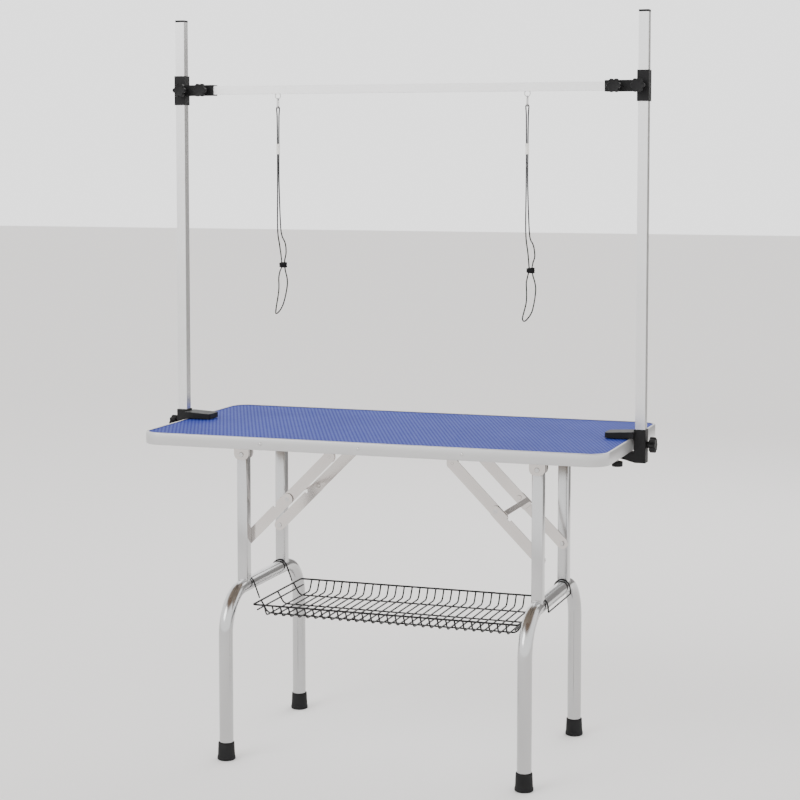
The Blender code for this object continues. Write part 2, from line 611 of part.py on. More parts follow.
LINK_HALF = 0.0045
link_top = eye_z - EYE_R + 2 * EYE_WIRE + 0.0005 + EYE_WIRE - LINK_HALF   # middle of the upper bend
link_low = link_top - 0.0140                                             # middle of the lower bend
STRANDS = 0.0034          # between the two strands, in the sleeve
SLEEVE = (1.374, 1.398)
KNOT_Z, KNOT_H = 1.117, 0.012
for (side, _), x in zip(SIDES, NOOSE_X):
    ring = arc(0, link_top, LINK_HALF, 0, 180, 6) + arc(0, link_low, LINK_HALF, 180, 360, 6)
    shade(wire(f"{side}_noose_link", [Vector((x, y, z)) for y, z in ring], EYE_WIRE, STEEL, 2, cyclic=True))

    bight = link_low - LINK_HALF
    turn = EYE_WIRE + CORD_R + 0.0009
    half = STRANDS / 2
    start, end = ([Vector((x + turn * math.cos(math.radians(a)), 0, bight + turn * math.sin(math.radians(a))))
                   for a in turns] for turns in ((84, 63, 42, 21, 0), (180, 159, 138, 117, 96)))
    tops = [(turn, bight - 0.003), (half + 0.0008, bight - 0.015), (half + 0.0002, 1.42),
            (half, SLEEVE[0]), (half + 0.0002, 1.30)]
    if side == "left":
        kx = x + 0.0112
        down_left = [(x + 0.0025, 1.1625), (kx - 0.0040, 1.128), (kx - 0.0042, 1.110), (x + 0.0004, 1.0927),
                     (x - 0.0002, 1.057), (x - 0.0075, 1.012)]
        bottom = [(x - 0.0068, LOOP_BOTTOM + 0.0010), (x - 0.0030, LOOP_BOTTOM + 0.0045)]
        up_right = [(x + 0.0112, 1.0259), (x + 0.0217, 1.0742), (kx + 0.0042, 1.110), (kx + 0.0040, 1.128),
                    (x + 0.0190, 1.150), (x + 0.0140, 1.176), (x + 0.0060, 1.197)]
    else:
        kx = x + 0.0093
        down_left = [(x + 0.0029, 1.1535), (kx - 0.0040, 1.127), (kx - 0.0042, 1.109), (x - 0.0001, 1.0906),
                     (x - 0.0002, 1.0456), (x - 0.0085, 1.010)]
        bottom = [(x - 0.0082, LOOP_BOTTOM - 0.0015), (x - 0.0040, LOOP_BOTTOM + 0.0015)]
        up_right = [(x + 0.0127, 1.0221), (x + 0.0213, 1.0731), (kx + 0.0042, 1.109), (kx + 0.0040, 1.127),
                    (x + 0.0189, 1.147), (x + 0.0150, 1.172), (x + 0.0065, 1.196)]
    middle = down_left + bottom + up_right
    loop = ([(x + off, z) for off, z in tops] + middle[::-1] + [(x - half - 0.0006, 1.20)]
            + [(x - off, z) for off, z in tops[::-1]])
    route = start + smooth_route([Vector((px, 0, pz)) for px, pz in loop], 0.0140) + end
    knot_z = KNOT_Z if side == "left" else KNOT_Z - 0.002
    shade(wire(f"{side}_noose_cord", route, CORD_R, CORD, 2), 60)
    tube = [(0.0037, SLEEVE[0]), (0.0044, SLEEVE[0]), (0.0044, SLEEVE[1]), (0.0037, SLEEVE[1])]
    shade(turned(f"{side}_noose_sleeve", tube, IVORY, Matrix.Translation((x, 0, 0)), 16, True))
    rounds = ([(kx + 0.0048 + 0.0052 * math.cos(a), 0.0052 * math.sin(a)) for a in
               [-math.pi / 2 + math.pi * n / 6 for n in range(7)]]
              + [(kx - 0.0048 + 0.0052 * math.cos(a), 0.0052 * math.sin(a)) for a in
                 [math.pi / 2 + math.pi * n / 6 for n in range(7)]])
    slot = ([(kx + 0.0046 + 0.0022 * math.cos(a), 0.0022 * math.sin(a)) for a in
             [-math.pi / 2 + math.pi * n / 4 for n in range(5)]]
            + [(kx - 0.0046 + 0.0022 * math.cos(a), 0.0022 * math.sin(a)) for a in
               [math.pi / 2 + math.pi * n / 4 for n in range(5)]])
    shade(outline(f"{side}_noose_knot", rounds, KNOT_H, CORD,
                  Matrix.Translation((0, 0, knot_z - KNOT_H / 2)), [slot]))
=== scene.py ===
"""The looks of the grooming table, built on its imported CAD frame."""
import math

import bmesh
import bpy
from mathutils import Matrix, Vector


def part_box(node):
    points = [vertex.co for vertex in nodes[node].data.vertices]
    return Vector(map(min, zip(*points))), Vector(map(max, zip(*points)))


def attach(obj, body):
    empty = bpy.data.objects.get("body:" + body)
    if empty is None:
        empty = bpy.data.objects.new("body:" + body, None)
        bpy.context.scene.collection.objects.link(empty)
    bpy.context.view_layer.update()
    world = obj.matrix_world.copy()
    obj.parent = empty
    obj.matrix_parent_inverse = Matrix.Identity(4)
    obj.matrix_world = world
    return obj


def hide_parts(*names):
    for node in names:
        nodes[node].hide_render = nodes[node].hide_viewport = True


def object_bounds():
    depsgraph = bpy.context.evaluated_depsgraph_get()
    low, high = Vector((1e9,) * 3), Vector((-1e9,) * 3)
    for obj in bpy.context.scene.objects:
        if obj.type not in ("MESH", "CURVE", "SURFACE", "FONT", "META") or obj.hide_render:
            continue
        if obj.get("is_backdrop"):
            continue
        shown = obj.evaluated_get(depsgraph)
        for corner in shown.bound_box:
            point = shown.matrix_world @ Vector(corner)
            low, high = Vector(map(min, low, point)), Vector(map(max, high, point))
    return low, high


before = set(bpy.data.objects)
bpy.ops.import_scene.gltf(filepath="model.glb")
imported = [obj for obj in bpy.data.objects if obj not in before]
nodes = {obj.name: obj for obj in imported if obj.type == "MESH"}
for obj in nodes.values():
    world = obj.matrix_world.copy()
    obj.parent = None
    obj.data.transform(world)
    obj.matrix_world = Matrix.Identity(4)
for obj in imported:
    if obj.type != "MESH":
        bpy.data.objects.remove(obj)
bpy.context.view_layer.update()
SIDES = (("left", -1), ("right", 1))
ENDS = (("front", -1), ("rear", 1))


# ---- material tools ----
def shader_tree(name):
    """A new material, with its node tree and its Principled shader."""
    material = bpy.data.materials.new(name)
    material.use_nodes = True
    tree = material.node_tree
    return material, tree, tree.nodes["Principled BSDF"]


def add(tree, kind, **values):
    """A node with its sockets and settings filled in."""
    node = tree.nodes.new(kind)
    for key, value in values.items():
        if key in node.inputs:
            node.inputs[key].default_value = value
        else:
            setattr(node, key, value)
    return node


def noise(tree, scale, detail, stretch=(1, 1, 1)):
    """A noise texture in the object's own coordinates, stretched along its axes."""
    place = add(tree, "ShaderNodeTexCoord")
    mapping = add(tree, "ShaderNodeMapping")
    mapping.inputs["Scale"].default_value = stretch
    texture = add(tree, "ShaderNodeTexNoise", Scale=scale, Detail=detail)
    tree.links.new(place.outputs["Object"], mapping.inputs["Vector"])
    tree.links.new(mapping.outputs["Vector"], texture.inputs["Vector"])
    return texture.outputs["Fac"]


def crossed_bands(tree, turns, direction, scale, operation):
    """Two sets of soft bands, each turned by its own angles in degrees, combined by a maths operation."""
    place = add(tree, "ShaderNodeTexCoord")
    both = add(tree, "ShaderNodeMath", operation=operation)
    for socket, turn in zip(both.inputs, turns):
        mapping = add(tree, "ShaderNodeMapping")
        mapping.inputs["Rotation"].default_value = [math.radians(angle) for angle in turn]
        wave = add(tree, "ShaderNodeTexWave", bands_direction=direction, Scale=scale)
        tree.links.new(place.outputs["Object"], mapping.inputs["Vector"])
        tree.links.new(mapping.outputs["Vector"], wave.inputs["Vector"])
        tree.links.new(wave.outputs["Fac"], socket)
    return both.outputs["Value"]


def ramp(tree, source, low, high, start=0.3, end=0.7):
    """Turns a grey value into a blend of two colours."""
    node = add(tree, "ShaderNodeValToRGB")
    first, last = node.color_ramp.elements
    first.position = start
    first.color = (*low, 1)
    last.position = end
    last.color = (*high, 1)
    tree.links.new(source, node.inputs["Fac"])
    return node.outputs["Color"]


def span(tree, source, low, high):
    """Maps a grey value to a range."""
    node = add(tree, "ShaderNodeMapRange")
    node.inputs["To Min"].default_value = low
    node.inputs["To Max"].default_value = high
    tree.links.new(source, node.inputs["Value"])
    return node.outputs["Result"]


def bump(tree, shader, height, strength, distance):
    node = add(tree, "ShaderNodeBump", Strength=strength, Distance=distance)
    tree.links.new(height, node.inputs["Height"])
    tree.links.new(node.outputs["Normal"], shader.inputs["Normal"])


def mottle(colour, spread):
    """A colour's darker and lighter variants."""
    return [tuple(c * share for c in colour) for share in (1 - spread, 1 + spread)]


# ---- materials ----
def metal(name, colour, spread, metallic, rough, stretch, scale=60, grain=0.00004):
    """A metal with a slight mottle in colour and gloss, and a fine grain drawn out along its length."""
    material, tree, shader = shader_tree(name)
    shader.inputs["Metallic"].default_value = metallic
    tone = ramp(tree, noise(tree, 9, 3), *mottle(colour, spread))
    gloss = span(tree, noise(tree, scale, 5, stretch), rough * 0.85, rough * 1.2)
    tree.links.new(tone, shader.inputs["Base Color"])
    tree.links.new(gloss, shader.inputs["Roughness"])
    bump(tree, shader, noise(tree, scale * 4, 3, stretch), 0.35, grain)
    return material


def moulded(name, colour, rough, grain_scale, grain, spread=0.25, specular=0.18):
    """Moulded plastic or rubber with a fine grain."""
    material, tree, shader = shader_tree(name)
    shader.inputs["Specular IOR Level"].default_value = specular
    tone = ramp(tree, noise(tree, 25, 3), *mottle(colour, spread))
    gloss = span(tree, noise(tree, 70, 4), rough * 0.85, rough * 1.15)
    tree.links.new(tone, shader.inputs["Base Color"])
    tree.links.new(gloss, shader.inputs["Roughness"])
    bump(tree, shader, noise(tree, grain_scale, 2), 0.5, grain)
    return material


RIB_SCALE = 38.0
RIB_TURNS = ((0, 0, 24), (0, 0, -24))
BRAID_SCALE = 260.0
BRAID_TURNS = ((0, 35, 0), (0, -35, 0))
# A Mix node names its sockets alike for every data type, so the colour ones go by number
MIX_FACTOR, MIX_FIRST, MIX_SECOND, MIX_RESULT = 0, 6, 7, 2


def ribbed_mat():
    """Blue rubber with fine crossed diagonal ribs, the rib tops painted lighter as a painted highlight and
    the grooves painted darker as painted shade.
    """
    material, tree, shader = shader_tree("blue_ribbed_rubber")
    ribs = crossed_bands(tree, RIB_TURNS, "X", RIB_SCALE, "MULTIPLY")
    tone = ramp(tree, noise(tree, 5, 4), (0.018, 0.034, 0.285), (0.026, 0.046, 0.335))
    # Painted light: the rib pattern lightens the rib tops (a painted highlight) and darkens the grooves
    # (painted shade) in the rubber's colour
    painted_rib_light_and_shade = ramp(tree, ribs, (0.30, 0.40, 0.70), (5.0, 3.9, 1.7), 0.0, 1.0)
    painted_rib_light_mix = add(tree, "ShaderNodeMix", data_type="RGBA", blend_type="MULTIPLY")
    painted_rib_light_mix.inputs[MIX_FACTOR].default_value = 0.8
    tree.links.new(tone, painted_rib_light_mix.inputs[MIX_FIRST])
    tree.links.new(painted_rib_light_and_shade, painted_rib_light_mix.inputs[MIX_SECOND])
    tree.links.new(painted_rib_light_mix.outputs[MIX_RESULT], shader.inputs["Base Color"])
    tree.links.new(span(tree, noise(tree, 90, 3), 0.55, 0.72), shader.inputs["Roughness"])
    shader.inputs["Specular IOR Level"].default_value = 0.08
    bump(tree, shader, ribs, 0.3, 0.0004)
    return material


def braid():
    """Dark braided cord: two crossed sets of fine bands."""
    material, tree, shader = shader_tree("black_braid")
    strands = crossed_bands(tree, BRAID_TURNS, "Z", BRAID_SCALE, "MAXIMUM")
    # Painted shade: the gaps between the strands are painted darker than the strands' crests
    tone = ramp(tree, strands, (0.002, 0.002, 0.002), (0.009, 0.009, 0.010))
    tree.links.new(tone, shader.inputs["Base Color"])
    tree.links.new(span(tree, noise(tree, 200, 3), 0.7, 0.95), shader.inputs["Roughness"])
    shader.inputs["Sheen Weight"].default_value = 0.05
    shader.inputs["Specular IOR Level"].default_value = 0.1
    bump(tree, shader, strands, 0.8, 0.0004)
    return material


ALONG_X, ALONG_Z, EVEN = (0.03, 1, 1), (1, 1, 0.03), (1, 1, 1)
POST = metal("satin_aluminium_post", (0.76, 0.76, 0.76), 0.02, 1.0, 0.24, ALONG_Z)
BAR = metal("satin_aluminium_bar", (0.82, 0.82, 0.82), 0.02, 0.8, 0.34, ALONG_X)
TRIM = metal("satin_aluminium_trim", (0.50, 0.50, 0.50), 0.02, 0.75, 0.34, ALONG_X)
PAINT = metal("silver_paint", (0.47, 0.47, 0.472), 0.02, 1.0, 0.17, (1, 1, 0.1), 60, 0.000004)
STEEL = metal("bright_zinc", (0.55, 0.52, 0.50), 0.04, 1.0, 0.16, EVEN, 40, 0.00001)
CHROME = metal("rivet_steel", (0.50, 0.495, 0.49), 0.04, 1.0, 0.16, EVEN, 80, 0.00002)
BLACK = moulded("black_moulded_plastic", (0.0065, 0.0065, 0.007), 0.50, 900, 0.00006)
RUBBER = moulded("black_foot_rubber", (0.0085, 0.0085, 0.009), 0.7, 600, 0.0001)
WIRE = moulded("black_coated_wire", (0.006, 0.006, 0.0065), 0.36, 400, 0.00004)
IVORY = moulded("ivory_plastic", (0.74, 0.73, 0.69), 0.42, 300, 0.00003, 0.04, 0.5)
BOARD = metal("board_underside", (0.30, 0.25, 0.20), 0.2, 0.0, 0.75, (0.1, 1, 1), 30, 0.0002)
MAT = ribbed_mat()
BRAID = braid()


# ---- building tools ----
def link(name, data, body, material, replaced=()):
    """Puts a finished piece in the scene, on its body."""
    obj = bpy.data.objects.new(name, data)
    bpy.context.scene.collection.objects.link(obj)
    data.materials.append(material)
    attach(obj, body)
    if replaced:
        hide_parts(*replaced)
    return obj


def finish_node(name, material, width=0.0, segments=3):
    """Gives a CAD node its material and soft edges."""
    obj = nodes[name]
    obj.data.materials.clear()
    obj.data.materials.append(material)
    if not width:
        return
    edges = obj.modifiers.new("soft_edges", "BEVEL")
    edges.width = width
    edges.segments = segments
    edges.limit_method = "ANGLE"
    edges.angle_limit = math.radians(35)
    edges.harden_normals = True
    obj.data.shade_smooth()


def box_of(node):
    """A CAD node's lowest corner, highest corner and centre."""
    low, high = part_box(node)
    return low, high, (low + high) / 2


def tube_curve(name, runs, radius, resolution, closed=False):
    """A curve with one round wire for each list of points."""
    curve = bpy.data.curves.new(name, "CURVE")
    curve.dimensions = "3D"
    curve.bevel_depth = radius
    curve.bevel_resolution = resolution
    curve.use_fill_caps = True
    for points in runs:
        spline = curve.splines.new("POLY")
        spline.points.add(len(points) - 1)
        for point, place in zip(spline.points, points):
            point.co = (*place, 1)
        spline.use_cyclic_u = closed
        spline.use_smooth = True
    return curve


def arc(cx, cy, radius, start, end, steps):
    """Points on an arc round (cx, cy), from one angle to another in degrees."""
    turns = [math.radians(start + (end - start) * n / steps) for n in range(steps + 1)]
    return [(cx + radius * math.cos(a), cy + radius * math.sin(a)) for a in turns]


def circle(radius, sides):
    turns = [math.tau * n / sides for n in range(sides)]
    return [(radius * math.cos(a), radius * math.sin(a)) for a in turns]


def rounded_rectangle(half_x, half_y, radius, steps):
    cx, cy = half_x - radius, half_y - radius
    points = []
    for start, side_x, side_y in ((0, 1, 1), (90, -1, 1), (180, -1, -1), (270, 1, -1)):
        points += arc(side_x * cx, side_y * cy, radius, start, start + 90, steps)
    return points


def round_corners(points, radius, steps):
    """A polyline with each inner corner rounded."""
    made = [Vector(points[0])]
    for before, at, after in zip(points, points[1:], points[2:]):
        before, at, after = Vector(before), Vector(at), Vector(after)
        room = min(radius, (at - before).length * 0.45, (after - at).length * 0.45)
        start = at + (before - at).normalized() * room
        end = at + (after - at).normalized() * room
        for n in range(steps + 1):
            t = n / steps
            made.append(start * (1 - t) ** 2 + at * (2 * t * (1 - t)) + end * t ** 2)
    made.append(Vector(points[-1]))
    return made


def smooth_route(points, spacing):
    """Points at an even spacing along a smooth (Catmull-Rom) curve through the given points."""
    ends = [points[0] * 2 - points[1], *points, points[-1] * 2 - points[-2]]
    fine = []
    for a, b, c, d in zip(ends, ends[1:], ends[2:], ends[3:]):
        for step in range(24):
            t = step / 24
            fine.append(0.5 * (2 * b + (c - a) * t + (2 * a - 5 * b + 4 * c - d) * t * t
                               + (3 * b - a - 3 * c + d) * t ** 3))
    fine.append(points[-1])
    total = sum((q - p).length for p, q in zip(fine, fine[1:]))
    count = max(2, round(total / spacing))
    gap = total / count
    route = [fine[0]]
    walked = 0.0
    for p, q in zip(fine, fine[1:]):
        step = (q - p).length
        while step and walked + step >= gap * len(route) and len(route) < count:
            route.append(p.lerp(q, (gap * len(route) - walked) / step))
        walked += step
    route.append(fine[-1])
    return route


def smooth(mesh, angle):
    """Smooth shading, but for edges sharper than the angle in degrees."""
    mesh.shade_smooth()
    mesh.set_sharp_from_angle(angle=math.radians(angle))
    return mesh


def grow(rings, hoop=False, open_start=False):
    """A mesh from closed rings of points, each joined to the next.

    A hoop's last ring joins its first. Otherwise both ends are capped, unless the start stays open.
    """
    bm = bmesh.new()
    made = [[bm.verts.new(p) for p in ring] for ring in rings]
    pairs = list(zip(made, made[1:]))
    if hoop:
        pairs.append((made[-1], made[0]))
    for a, b in pairs:
        for n in range(len(a)):
            m = (n + 1) % len(a)
            bm.faces.new((a[n], a[m], b[m], b[n]))
    if not hoop and not open_start:
        bm.faces.new(made[0][::-1])
    if not hoop:
        bm.faces.new(made[-1])
    bmesh.ops.recalc_face_normals(bm, faces=bm.faces)
    mesh = bpy.data.meshes.new("mesh")
    bm.to_mesh(mesh)
    bm.free()
    return mesh


def turned(profile, axis, place, sides=48):
    """A turned solid: (radius, height) points about an axis through place."""
    matrix = Matrix.Translation(place) @ Vector(axis).to_track_quat("Z", "Y").to_matrix().to_4x4()
    rings = [[matrix @ Vector((x, y, height)) for x, y in circle(radius, sides)]
             for radius, height in profile]
    return smooth(grow(rings), 30)


def several(meshes):
    """Several meshes as one."""
    bm = bmesh.new()
    for mesh in meshes:
        bm.from_mesh(mesh)
    joined = bpy.data.meshes.new("joined")
    bm.to_mesh(joined)
    bm.free()
    return joined


# ---- camera, floor and light ----
CAMERA_PLACE = (1.4719, -4.3040, 1.3720)
CAMERA_DIP = 0.0765  # radians below level
CAMERA_TURN = 0.3315  # radians from straight ahead
camera = bpy.data.objects.new("camera", bpy.data.cameras.new("camera"))
bpy.context.scene.collection.objects.link(camera)
bpy.context.scene.camera = camera
camera.data.lens = 89.71
camera.data.sensor_width = 36
camera.data.shift_y = -0.115
camera.data.clip_end = 100
camera.location = CAMERA_PLACE
camera.rotation_euler = (math.pi / 2 - CAMERA_DIP, 0, CAMERA_TURN)


def matt_plane(name, corners, colour, roughness):
    """A four-cornered plane of one matt colour, for the studio."""
    mesh = bpy.data.meshes.new(name)
    mesh.from_pydata(corners, [], [(0, 1, 2, 3)])
    plane = bpy.data.objects.new(name, mesh)
    bpy.context.scene.collection.objects.link(plane)
    material, _, shader = shader_tree(f"{name}_matt")
    shader.inputs["Base Color"].default_value = (*colour, 1)
    shader.inputs["Roughness"].default_value = roughness
    mesh.materials.append(material)
    return plane


def area_light(name, place, target, size, power):
    data = bpy.data.lights.new(name, "AREA")
    data.energy = power
    data.size = size
    light = bpy.data.objects.new(name, data)
    bpy.context.scene.collection.objects.link(light)
    light.location = place
    light.rotation_euler = (Vector(target) - Vector(place)).to_track_quat("-Z", "Y").to_euler()


FLOOR_CORNERS = [(-30, -30, 0), (30, -30, 0), (30, 30, 0), (-30, 30, 0)]
floor = matt_plane("floor", FLOOR_CORNERS, (0.97, 0.97, 0.97), 0.9)
floor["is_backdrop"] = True

# A dark card that only reflections see: it darkens the right-hand faces of the bright metal
CARD_CORNERS = [(-0.9, 6.0, 0), (3.6, 4.5, 0), (3.6, 4.5, 4.5), (-0.9, 6.0, 4.5)]
card = matt_plane("card", CARD_CORNERS, (0.24, 0.235, 0.23), 1.0)
card.visible_camera = False
card.visible_diffuse = False
card.visible_shadow = False
card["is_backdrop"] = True

# White all round, with a warm, darker ceiling overhead
world = bpy.data.worlds.new("studio")
bpy.context.scene.world = world
world.use_nodes = True
sky = world.node_tree
direction = add(sky, "ShaderNodeTexCoord")
parts = add(sky, "ShaderNodeSeparateXYZ")
sky.links.new(direction.outputs["Generated"], parts.inputs[0])
colour = ramp(sky, parts.outputs["Z"], (1.0, 1.0, 1.0), (0.16, 0.115, 0.085), 0.66, 0.86)
background = sky.nodes["Background"]
sky.links.new(colour, background.inputs["Color"])
background.inputs["Strength"].default_value = 2.1

area_light("key", (-2.2, -3.8, 3.6), (0, 0, 0.8), 2.6, 90)
area_light("back", (0.6, 3.4, 3.2), (0, 0, 0.9), 2.6, 50)

# ---- nooses ----
CORD_R = 0.0015
KNOT_R, KNOT_INSET = 0.0020, 0.0021
EYE_WIRE_R = 0.0009
HALF_GAP = 0.0017  # from the noose's middle line to the middle of each strand
BIGHT_Z = 1.4805
BIGHT_R = 0.00365
# (distance from the middle, height) of either strand from the link down to the sleeve and past it
STRAND = [(BIGHT_R, BIGHT_Z - 0.003), (HALF_GAP + 0.0008, BIGHT_Z - 0.015), (HALF_GAP + 0.0002, 1.42),
          (HALF_GAP, 1.374), (HALF_GAP + 0.0002, 1.30)]
# Each noose: where it hangs, its cord's length, and (distance right of the middle, height) points
# down its right side, round the loop's bottom and up its left side
NOOSES = {
    "left": (-0.309, 0.98, [
        (0.0060, 1.197), (0.0140, 1.176), (0.0190, 1.150), (0.0152, 1.128), (0.0154, 1.110),
        (0.0217, 1.0742), (0.0112, 1.0259), (-0.0030, 1.0035), (-0.0068, 1.0000), (-0.0075, 1.012),
        (-0.0002, 1.057), (0.0004, 1.0927), (0.0070, 1.110), (0.0072, 1.128), (0.0025, 1.1625)]),
    "right": (0.290, 0.985, [
        (0.0065, 1.196), (0.0150, 1.172), (0.0189, 1.147), (0.0133, 1.127), (0.0135, 1.109),
        (0.0213, 1.0731), (0.0127, 1.0221), (-0.0040, 1.0005), (-0.0082, 0.9975), (-0.0085, 1.010),
        (-0.0002, 1.0456), (-0.0001, 1.0906), (0.0051, 1.109), (0.0053, 1.127), (0.0029, 1.1535)]),
}


def cord_route(x, sides):
    """The cord from the link down one strand, round the loop and up the other."""
    start = [Vector((px, 0, pz)) for px, pz in arc(x, BIGHT_Z, BIGHT_R, 84, 0, 4)]
    end = [Vector((px, 0, pz)) for px, pz in arc(x, BIGHT_Z, BIGHT_R, 180, 96, 4)]
    up = [(-off, z) for off, z in reversed(STRAND)]
    loop = [*STRAND, *sides, (-HALF_GAP - 0.0006, 1.20), *up]
    hanging = smooth_route([Vector((x + off, 0, z)) for off, z in loop], 0.0140)
    return smooth_route([*start, *hanging[1:-1], *end], 0.0035)


def sleeve_profile(radius, tall):
    """A short tube with a raised band at each end."""
    lower = [(0.0031, 0), (radius - 0.0006, 0), (radius, 0.0006), (radius, 0.004), (radius - 0.0004, 0.0047)]
    return lower + [(r, tall - z) for r, z in reversed(lower)]


def knot_turns(centre, half):
    """Three turns of cord, one above the other, slightly askew."""
    turns = []
    for level in (-0.62, 0, 0.62):
        turn = []
        for n in range(40):
            a = math.tau * n / 40
            x = centre.x + (half.x - KNOT_INSET) * math.cos(a)
            y = (half.y - KNOT_INSET) * math.sin(a)
            z = centre.z + half.z * level * 0.95 + 0.0009 * math.sin(a + level)
            turn.append(Vector((x, y, z)))
        turns.append(turn)
    return turns


for side, _ in SIDES:
    noose_x, cord_length, loop_sides = NOOSES[side]
    body = f"{side}_noose"
    route = cord_route(noose_x, loop_sides)
    cord_curve = tube_curve("noose", [route], CORD_R, 4)
    cord = link(f"{side}_noose", cord_curve, body, BRAID, [f"{side}_noose_cord"])

    low, high, at = box_of(f"{side}_noose_sleeve")
    profile = sleeve_profile((high.x - low.x) / 2, high.z - low.z)
    sleeve = link(f"{side}_sleeve", turned(profile, (0, 0, 1), (at.x, at.y, low.z), 32), body, IVORY,
                  [f"{side}_noose_sleeve"])

    low, high, at = box_of(f"{side}_noose_knot")
    knot_curve = tube_curve("knot", knot_turns(at, (high - low) / 2), KNOT_R, 4, True)
    knot = link(f"{side}_knot", knot_curve, body, BRAID, [f"{side}_noose_knot"])

    low, high, at = box_of(f"{side}_noose_link")
    wire_r = (high.x - low.x) / 2
    bend = (high.y - low.y) / 2 - wire_r
    oval = arc(0, high.z - wire_r - bend, bend, 0, 180, 12)
    oval += arc(0, low.z + wire_r + bend, bend, 180, 360, 12)
    link_curve = tube_curve("link", [[(at.x, y, z) for y, z in oval]], wire_r, 5, True)
    link(f"{side}_link", link_curve, f"{side}_link", CHROME, [f"{side}_noose_link"])

    # The eye is a drop-shaped ring with its point down
    low, high, at = box_of(f"{side}_noose_eye")
    ring = [Vector((at.x + a, at.y, at.z + b)) for a, b in arc(0, 0.0006, 0.0066, -40, 220, 22)]
    point = Vector((at.x, at.y, low.z - 0.0005))
    drop = round_corners([point, *ring, point], 0.001, 2)[:-1]
    eye_curve = tube_curve("eye", [drop], EYE_WIRE_R, 4, True)
    link(f"{side}_eye", eye_curve, "bar", CHROME, [f"{side}_noose_eye"])

# ---- table top ----
CORNER_R = 0.042
RIVET_STANDS = 0.0018  # the trim rivets stand this far out of the trim
MAT_INSET = 0.0026
TRIM_RIVET_X = (-0.243, -0.012, 0.224)
TRIM_RIVET_Z = 0.735
low, high, _ = box_of("edge_trim")
half_l = (high.x - low.x) / 2
half_w = high.y - RIVET_STANDS
# (inset, height) round the trim's section
trim_section = [
    (0.0022, low.z + 0.0004), (0.0012, low.z), (0.0004, low.z + 0.0003), (0, low.z + 0.0012),
    (0, high.z - 0.0022), (0.0005, high.z - 0.0009), (0.0014, high.z - 0.0002), (0.0026, high.z),
    (0.0050, high.z), (0.0056, high.z - 0.0004), (0.0056, high.z - 0.0008), (0.0022, high.z - 0.0008)]
rings = [[(x, y, z) for x, y in rounded_rectangle(half_l - inset, half_w - inset, CORNER_R - inset, 16)]
         for inset, z in trim_section]
link("trim", smooth(grow(rings, hoop=True), 50), "table", TRIM, ["edge_trim"])
rivet = [(0.0036, -0.0004), (0.0036, 0.0003), (0.0032, 0.0009), (0.0022, 0.0014), (0.0008, 0.00165)]
heads = [turned(rivet, (0, e, 0), (x, e * half_w, TRIM_RIVET_Z), 24) for x in TRIM_RIVET_X for _, e in ENDS]
link("trim_rivet_heads", several(heads), "table", CHROME)

low, high, _ = box_of("top_mat")
outline = rounded_rectangle(half_l - MAT_INSET, half_w - MAT_INSET, CORNER_R - MAT_INSET, 16)
mat = grow([[(x, y, z) for x, y in outline] for z in (low.z, high.z)])
link("ribbed_mat", mat, "table", MAT, ["top_mat"])
finish_node("table_panel", BOARD)

# ---- leg frames ----
TUBE_R = 0.016
TUBE_Z = 0.379
TUBE_X = 0.351
TUBE_FOOT_Z = 0.0125
BEND_Y = 0.128
UPRIGHT_Y = 0.1145
UPRIGHT_HALF = 0.0125
UPRIGHT_WALL = 0.0015
PIVOT_FACE_Y = 0.0990
PIVOT_Z = 0.482
HOOK_BEND_R = 0.0185
HOOK_WIRE_R = 0.00175


def tube_top(off):
    """The height of the cross tube's surface, this far from its centre line."""
    return TUBE_Z + math.sqrt(TUBE_R ** 2 - off ** 2)


def arch(x, lower_y):
    """The middle line of the bent tube: up from one foot, across and down to the other."""
    bend_r = lower_y - BEND_Y
    path = [(-lower_y, TUBE_FOOT_Z), (-lower_y, 0.14)]
    path += arc(-BEND_Y, TUBE_Z - bend_r, bend_r, 180, 90, 22)
    path += arc(BEND_Y, TUBE_Z - bend_r, bend_r, 90, 0, 22)
    path += [(lower_y, 0.14), (lower_y, TUBE_FOOT_Z)]
    return [(x, y, z) for y, z in path]


def upright(x, y, top):
    """A square tube, open at the top, that stands on the cross tube."""
    inside = UPRIGHT_HALF - UPRIGHT_WALL
    outer = rounded_rectangle(UPRIGHT_HALF, UPRIGHT_HALF, 0.0028, 5)
    inner = rounded_rectangle(inside, inside, 0.0016, 5)
    rings = [
        [(x + px, y + py, tube_top(px) - 0.0008) for px, py in outer],
        [(x + px, y + py, top - 0.0004) for px, py in outer],
        [(x + px * 0.985, y + py * 0.985, top) for px, py in outer],
        [(x + px, y + py, top) for px, py in inner],
        [(x + px, y + py, TUBE_Z + 0.03) for px, py in inner]]
    return smooth(grow(rings, open_start=True), 50)


def weld_bead(x, y):
    """A bead round an upright's foot, on the cross tube."""
    reach = UPRIGHT_HALF + 0.0002
    bead = []
    for across, along in circle(1.25, 72):
        px = max(-1, min(1, across)) * reach
        py = max(-1, min(1, along)) * reach
        bead.append((x + px, y + py, tube_top(px) + 0.0002))
    return bead


def foot_profile(radius, tall):
    """A rubber foot: a ring at the floor, then a wall that narrows to a lip round the tube."""
    return [(radius - 0.0025, 0), (radius, 0.0018), (radius, 0.0070), (radius - 0.0010, 0.0082),
            (radius - 0.0012, 0.0100), (TUBE_R + 0.0028, tall - 0.012), (TUBE_R + 0.0026, tall - 0.006),
            (TUBE_R + 0.0024, tall - 0.0015), (TUBE_R + 0.0014, tall), (TUBE_R + 0.0004, tall - 0.0006),
            (TUBE_R + 0.0002, tall - 0.02)]


